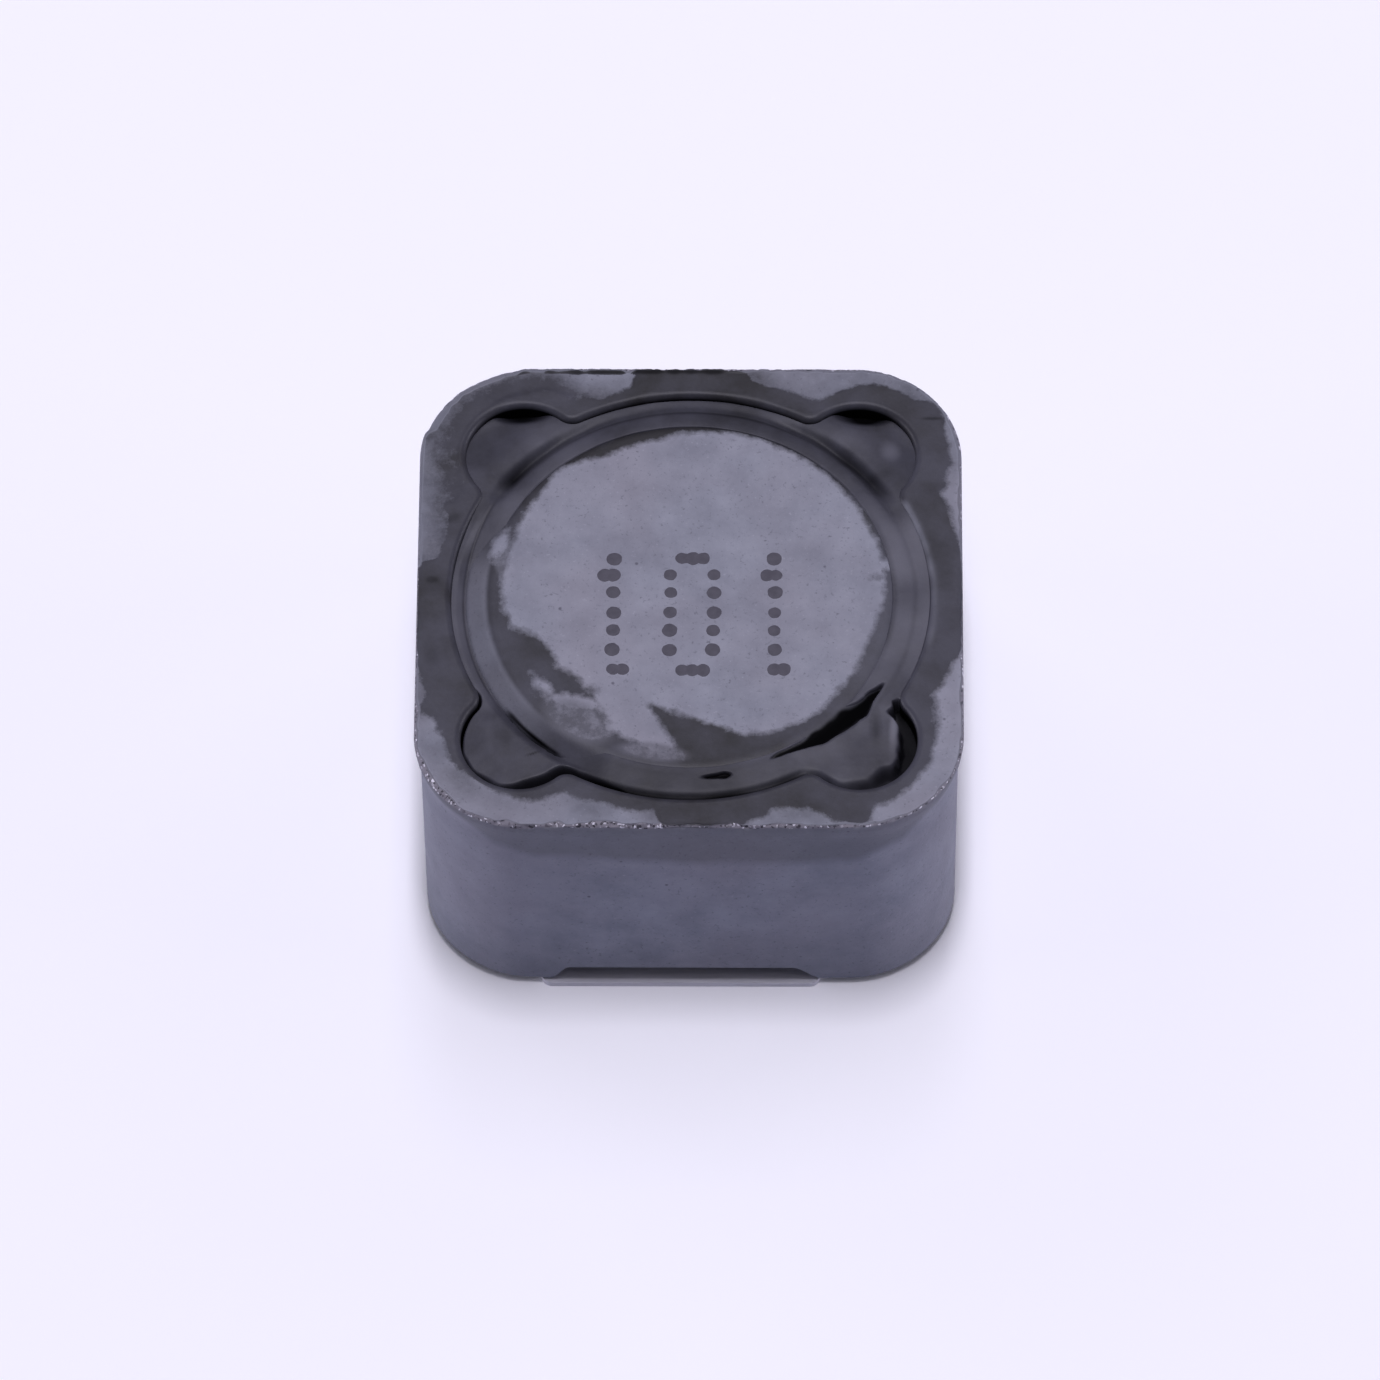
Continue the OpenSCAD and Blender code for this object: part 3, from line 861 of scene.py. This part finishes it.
def start(name):
    """A new material, its tree, its Principled shader and Object coordinates in millimetres."""
    material = bpy.data.materials.new(name)
    material.use_nodes = True
    tree = material.node_tree
    shader = tree.nodes["Principled BSDF"]
    coords = add(tree, "TexCoord", None, "Object")
    scaled = add(tree, "VectorMath", {"operation": "SCALE", "Scale": 1 / MM}, i0=coords)
    return material, tree, shader, scaled


# The cured varnish is the same epoxy as in the gap: brown-black, seen as violet grey where it is thin
THIN_FILM = "#3d3d46"
THICK_FILM = "#212023"
# Milky film, and film lightened as painted sheen
MILKY_AND_SHEEN_FILM = "#74747e"
# Black for painted shade in hollows, and for grime
SHADE_AND_GRIME_BLACK = "#050506"

# What a noise's values mostly lie between, how a hole loses its gloss as it darkens, and the shader's inputs
NOISE_SPAN = {1: 0.3, 2: 0.7}
GLOSS_LOST = {1: 0.3, 2: 1.0, 3: 0.28, 4: 0.02}
SOCKETS = ("Base Color", "Roughness", "Specular IOR Level", "Normal")


def epoxy_colour(tree, mm, tone, dark):
    """Colour of the epoxy: thin to thick by tone, mottled by how unevenly it was wiped, black where dark is 1,
    as painted shade in hollows and as grime, and milkier where dark is below 0, which also paints sheen."""
    wiped = add(tree, "TexNoise", {"Scale": 1.6, "Detail": 5.0, "Roughness": 0.65}, Vector=mm)
    uneven = add(tree, "Math", {"operation": "MULTIPLY_ADD", 1: 1.5, 2: -0.78}, i0=wiped)
    depth = add(tree, "Math", {"operation": "ADD", "use_clamp": True}, i0=tone, i1=uneven)
    film = add(tree, "Mix", {"data_type": "RGBA", 6: linear(THIN_FILM), 7: linear(THICK_FILM)}, 2, i0=depth)
    milky_and_sheen = add(tree, "Math", {"operation": "MULTIPLY", 1: -1.0, "use_clamp": True}, i0=dark)
    film = add(tree, "Mix", {"data_type": "RGBA", 7: linear(MILKY_AND_SHEEN_FILM)}, 2, i0=milky_and_sheen, i6=film)
    return add(tree, "Mix", {"data_type": "RGBA", 7: linear(SHADE_AND_GRIME_BLACK)}, 2, i0=dark, i6=film)


def ferrite():
    """Sintered nickel-zinc ferrite, ground grey and matt, with epoxy varnish crept over part of it."""
    material, tree, shader, mm = start("sintered_ferrite_ground_and_varnished")
    field = {
        key: add(tree, "Attribute", {"attribute_name": key}, "Fac")
        for key in ("varnish", "chipped", "run", "haze", "tone", "dark", "thin")
    }

    # Bare ferrite: cloudy over about 1 mm, with a ground grain drawn at 0.08 mm, as the real 0.02 mm is too
    # fine to show
    cloud = add(tree, "TexNoise", {"Scale": 1.1, "Detail": 6.0, "Roughness": 0.6}, Vector=mm)
    grain = add(tree, "TexNoise", {"Scale": 12.0, "Detail": 3.0, "Roughness": 0.6}, Vector=mm)
    pores = add(tree, "TexVoronoi", {"Scale": 1.15}, Vector=mm)
    cloudy = add(tree, "MapRange", NOISE_SPAN, i0=cloud)
    bright = add(tree, "MapRange", {1: 0.64, 2: 0.85}, i0=grain)
    dull = add(tree, "MapRange", {1: 0.4, 2: 0.25}, i0=grain)
    pore = add(tree, "MapRange", {1: 0.055, 2: 0.025, 4: 0.7}, i0=pores)
    bare = add(tree, "Mix", {"data_type": "RGBA", 6: linear("#797b86"), 7: linear("#8f919c")}, 2, i0=cloudy)
    # A warmer violet cast comes and goes over some 4 mm
    cast = add(tree, "TexNoise", {"Scale": 0.3, "Detail": 3.0}, Vector=mm)
    warm = add(tree, "MapRange", {1: 0.42, 2: 0.66, 4: 0.4}, i0=cast)
    for share, code in ((warm, "#8a868f"), (bright, "#9c9da8"), (dull, "#6b6c76"), (pore, "#484753")):
        bare = add(tree, "Mix", {"data_type": "RGBA", 7: linear(code)}, 2, i0=share, i6=bare)

    film = epoxy_colour(tree, mm, field["tone"], field["dark"])

    # A torn shore: the smooth level is pushed about by noise before it is cut
    torn = add(tree, "TexNoise", {"Scale": 3.6, "Detail": 6.0, "Roughness": 0.75}, Vector=mm)
    push = add(tree, "Math", {"operation": "MULTIPLY_ADD", 1: 0.36, 2: -0.18}, i0=torn)
    level = add(tree, "Math", {"operation": "ADD"}, i0=field["varnish"], i1=push)
    covered = add(tree, "MapRange", {1: -0.06, 2: 0.1}, i0=level)
    opaque = add(tree, "Math", {"operation": "SUBTRACT", 0: 1.0}, i1=field["thin"])
    covered = add(tree, "Math", {"operation": "MULTIPLY"}, i0=covered, i1=opaque)
    patchy = add(tree, "MapRange", {1: 0.3, 2: 0.65, 3: 0.6}, i0=torn)
    wash = add(tree, "Math", {"operation": "MULTIPLY"}, i0=field["haze"], i1=patchy)
    run = add(tree, "MapRange", {1: -0.25, 2: 0.1, 4: 0.45}, i0=field["run"])
    streaky = add(tree, "MapRange", {1: 0.2, 2: 0.5, 3: 0.7}, i0=cloud)
    run = add(tree, "Math", {"operation": "MULTIPLY"}, i0=run, i1=streaky)
    hazed = add(tree, "Math", {"operation": "MAXIMUM"}, i0=wash, i1=run)
    cover = add(tree, "Math", {"operation": "MAXIMUM"}, i0=covered, i1=hazed)
    colour = add(tree, "Mix", {"data_type": "RGBA"}, 2, i0=cover, i6=bare, i7=film)

    # Broken edges: dark fresh fracture, with painted glints as bright facets about 0.05 mm across
    crumb = add(tree, "TexVoronoi", {"Scale": 20.0}, "Color", Vector=mm)
    facet = add(tree, "SeparateColor", None, i0=crumb)
    greyer = add(tree, "MapRange", {1: 0.1, 2: 0.3}, i0=facet)
    glint = add(tree, "MapRange", {1: 0.86, 2: 0.98}, i0=facet)
    fresh = add(tree, "Mix", {"data_type": "RGBA", 6: linear("#3a383f"), 7: linear("#75727b")}, 2, i0=greyer)
    fresh = add(tree, "Mix", {"data_type": "RGBA", 7: linear("#d4d2dc")}, 2, i0=glint, i6=fresh)
    broken = add(tree, "Math", {"operation": "ADD"}, i0=field["chipped"], i1=push)
    broken = add(tree, "MapRange", {1: 0.49, 2: 0.7}, i0=broken)
    colour = add(tree, "Mix", {"data_type": "RGBA"}, 2, i0=broken, i6=colour, i7=fresh)

    # The film has a soft sheen, and where it is black it is a hole that gives nothing back
    sheen = add(tree, "MapRange", {3: 0.72, 4: 0.48}, i0=cover)
    gloss = add(tree, "MapRange", GLOSS_LOST, i0=field["dark"])
    # The bare grain stands out by a few hundredths of a millimetre, and the film hides it
    hidden = add(tree, "MapRange", {3: 1.0, 4: 0.35}, i0=cover)
    relief = add(tree, "Math", {"operation": "MULTIPLY"}, i0=grain, i1=hidden)
    bump = add(tree, "Bump", {"Strength": 0.3, "Distance": 0.03 * MM}, Height=relief)
    for source, socket in zip((colour, sheen, gloss, bump), SOCKETS):
        tree.links.new(source, shader.inputs[socket])
    return material


def epoxy():
    """Filled black epoxy, poured and cured: smooth, slightly wavy, satin."""
    material, tree, shader, mm = start("filled_epoxy_poured_and_cured")
    dark = add(tree, "Attribute", {"attribute_name": "dark"}, "Fac")
    tone = add(tree, "TexNoise", {"Scale": 0.7, "Detail": 2.0}, Vector=mm)
    thin = add(tree, "MapRange", {1: 0.3, 2: 0.8, 3: 0.05, 4: 0.55}, i0=tone)
    tree.links.new(epoxy_colour(tree, mm, thin, dark), shader.inputs["Base Color"])
    shader.inputs["Roughness"].default_value = 0.5
    gloss = add(tree, "MapRange", GLOSS_LOST, i0=dark)
    tree.links.new(gloss, shader.inputs["Specular IOR Level"])
    wave = add(tree, "TexNoise", {"Scale": 3.0, "Detail": 3.0}, Vector=mm)
    bump = add(tree, "Bump", {"Strength": 0.25, "Distance": 0.04 * MM}, Height=wave)
    tree.links.new(bump, shader.inputs["Normal"])
    return material


def clouded(name, low, high, noise, scale=None):
    """A new material whose colour goes from low to high with a noise of those settings, over coordinates
    scaled by axis. Its noise is given back too."""
    material, tree, shader, place = start(name)
    if scale:
        place = add(tree, "Mapping", {"Scale": scale}, Vector=place)
    cloud = add(tree, "TexNoise", noise, Vector=place)
    share = add(tree, "MapRange", NOISE_SPAN, i0=cloud)
    colour = add(tree, "Mix", {"data_type": "RGBA", 6: linear(low), 7: linear(high)}, 2, i0=share)
    tree.links.new(colour, shader.inputs["Base Color"])
    return material, tree, shader, cloud


def ink():
    """Marking ink, jetted in dots: dull, and cloudy as the ferrite below it."""
    noise = {"Scale": 6.0, "Detail": 4.0}
    material, _, shader, _ = clouded("jetted_marking_ink", "#45434c", "#4f4d56", noise)
    shader.inputs["Roughness"].default_value = 0.6
    shader.inputs["Specular IOR Level"].default_value = 0.28
    return material


def tinned_strip():
    """Phosphor bronze strip, dipped in tin: dull silver with soft rolling marks along its length."""
    noise = {"Scale": 2.0, "Detail": 5.0}
    along = (0.4, 6.0, 6.0)
    material, tree, shader, marks = clouded("tin_dipped_bronze_strip", "#bfbec6", "#cfced4", noise, along)
    rough = add(tree, "MapRange", {**NOISE_SPAN, 3: 0.5, 4: 0.6}, i0=marks)
    shader.inputs["Metallic"].default_value = 0.4
    tree.links.new(rough, shader.inputs["Roughness"])
    return material


def solder():
    """Reflowed tin solder, bright, with a faint frost."""
    noise = {"Scale": 5.0, "Detail": 4.0}
    material, tree, shader, frost = clouded("reflowed_tin_solder", "#b6b6bb", "#d0d0d4", noise)
    rough = add(tree, "MapRange", {**NOISE_SPAN, 3: 0.25, 4: 0.4}, i0=frost)
    shader.inputs["Metallic"].default_value = 1.0
    tree.links.new(rough, shader.inputs["Roughness"])
    return material


def enamelled_copper():
    """Copper wire under polyurethane enamel: copper red-brown below a clear glossy coat."""
    noise = {"Scale": 3.0, "Detail": 3.0}
    material, _, shader, _ = clouded("polyurethane_enamelled_copper_wire", "#8a3f20", "#a5542c", noise)
    shader.inputs["Metallic"].default_value = 0.6
    shader.inputs["Roughness"].default_value = 0.32
    shader.inputs["Coat Weight"].default_value = 0.8
    return material


# ---- stage, lamps and camera ----

# A cold tint, as of a light tent under cloudy daylight
LAMP_TINT = "#f3f0ff"
WORLD_TINT = "#efecff"
WORLD_LEVEL = 0.12
# In metres: the lamps' distance, half the floor's side, and how far it lies below the part's foot
LAMP_DISTANCE = 0.6
FLOOR_HALF = 3.0
FLOOR_DROP = 0.00001


def looking_from(azimuth, elevation):
    """Unit vectors back, right and up of what looks at the part from there. The azimuth is 0 at the front and
    90 on the right, back points away from the part, and right is level."""
    a, e = math.radians(azimuth), math.radians(elevation)
    back = Vector((math.sin(a) * math.cos(e), -math.cos(a) * math.cos(e), math.sin(e)))
    right = Vector((math.cos(a), math.sin(a), 0))
    return back, right, back.cross(right)


def stand(name, data, at, axes):
    """Puts a lamp or the camera at a point, with its right, up and back along those axes."""
    obj = bpy.data.objects.new(name, data)
    obj.matrix_world = Matrix.Translation(at) @ Matrix(axes).transposed().to_4x4()
    bpy.context.scene.collection.objects.link(obj)
    return obj


def lamp(name, width, length, azimuth, elevation, level):
    """Soft box that gives a surface facing it that share of full light. Power = level * pi^2 * distance^2."""
    data = bpy.data.lights.new(name, "AREA")
    data.shape = "RECTANGLE"
    data.size, data.size_y = width, length
    data.color = linear(LAMP_TINT)[:3]
    data.energy = level * math.pi ** 2 * LAMP_DISTANCE ** 2
    back, right, up = looking_from(azimuth, elevation)
    stand(name, data, back * LAMP_DISTANCE, (right, up, back))


def camera():
    """A long lens looking down at the front of the part, rolled by less than a degree."""
    target = Vector((-0.0186, 0, 2.8223)) * MM
    distance = 248.48 * MM
    roll = math.radians(-0.6272)
    back, level_right, level_up = looking_from(0.872, 57.616)
    right = level_right * math.cos(roll) + level_up * math.sin(roll)
    up = level_up * math.cos(roll) - level_right * math.sin(roll)
    data = bpy.data.cameras.new("camera")
    data.sensor_width = 36
    data.lens = 290.985
    data.clip_start, data.clip_end = 0.01, 10
    bpy.context.scene.camera = stand("camera", data, target + back * distance, (right, up, back))


def floor_and_world():
    """A wide pale floor, and a weak even light from all round."""
    mesh = bpy.data.meshes.new("floor")
    corners = [(x * FLOOR_HALF, y * FLOOR_HALF, -FLOOR_DROP) for x, y in ((-1, -1), (1, -1), (1, 1), (-1, 1))]
    mesh.from_pydata(corners, [], [(0, 1, 2, 3)])
    obj = bpy.data.objects.new("floor", mesh)
    bpy.context.scene.collection.objects.link(obj)
    material, tree, shader, _ = start("pale_paper_matt")
    # The camera sees the paper pale, and what it throws back on the part is toned down
    pale = add(tree, "LightPath", None, "Is Camera Ray")
    for ray in ("Is Glossy Ray", "Is Transmission Ray"):
        pale = add(tree, "Math", {"operation": "MAXIMUM"}, i0=pale, i1=add(tree, "LightPath", None, ray))
    tint = add(tree, "Mix", {"data_type": "RGBA", 6: linear("#c9ccdf"), 7: linear("#fcfcff")}, 2, i0=pale)
    tree.links.new(tint, shader.inputs["Base Color"])
    shader.inputs["Roughness"].default_value = 1.0
    shader.inputs["Specular IOR Level"].default_value = 0.0
    mesh.materials.append(material)
    world = bpy.data.worlds.new("surroundings")
    bpy.context.scene.world = world
    world.use_nodes = True
    background = world.node_tree.nodes["Background"]
    background.inputs["Color"].default_value = linear(WORLD_TINT)
    background.inputs["Strength"].default_value = WORLD_LEVEL


camera()
floor_and_world()
lamp("overhead_core", 0.05, 0.18, 180, 89.9, 0.5)
lamp("overhead_wide", 0.12, 0.7, 180, 83, 0.4)
lamp("left_side", 0.3, 0.07, -90, 4, 0.4)
lamp("right_side", 0.3, 0.07, 90, 4, 0.4)
lamp("back_left", 0.25, 0.25, -140, 28, 0.07)
lamp("back_right", 0.25, 0.25, 140, 28, 0.05)
bpy.context.scene.view_settings.view_transform = "Standard"

ferrite_finish = ferrite()
epoxy_finish = epoxy()
dress(ring_piece(), "ferrite", ferrite_finish, "ring_core")
dress(drum_piece(), "ferrite", ferrite_finish, "drum_core")
dress(adhesive_piece(), "epoxy", epoxy_finish, "top_adhesive")
dress(marking_piece(), "epoxy", ink())

for finish, names in (
    (enamelled_copper(), ("winding",)),
    (tinned_strip(), ("terminal_front", "terminal_back")),
    (solder(), ("solder_joint_front", "solder_joint_back")),
    (epoxy_finish, ("terminal_bond_front", "terminal_bond_back")),
):
    for name in names:
        for slot in nodes[name].material_slots:
            slot.material = finish

bpy.context.view_layer.update()
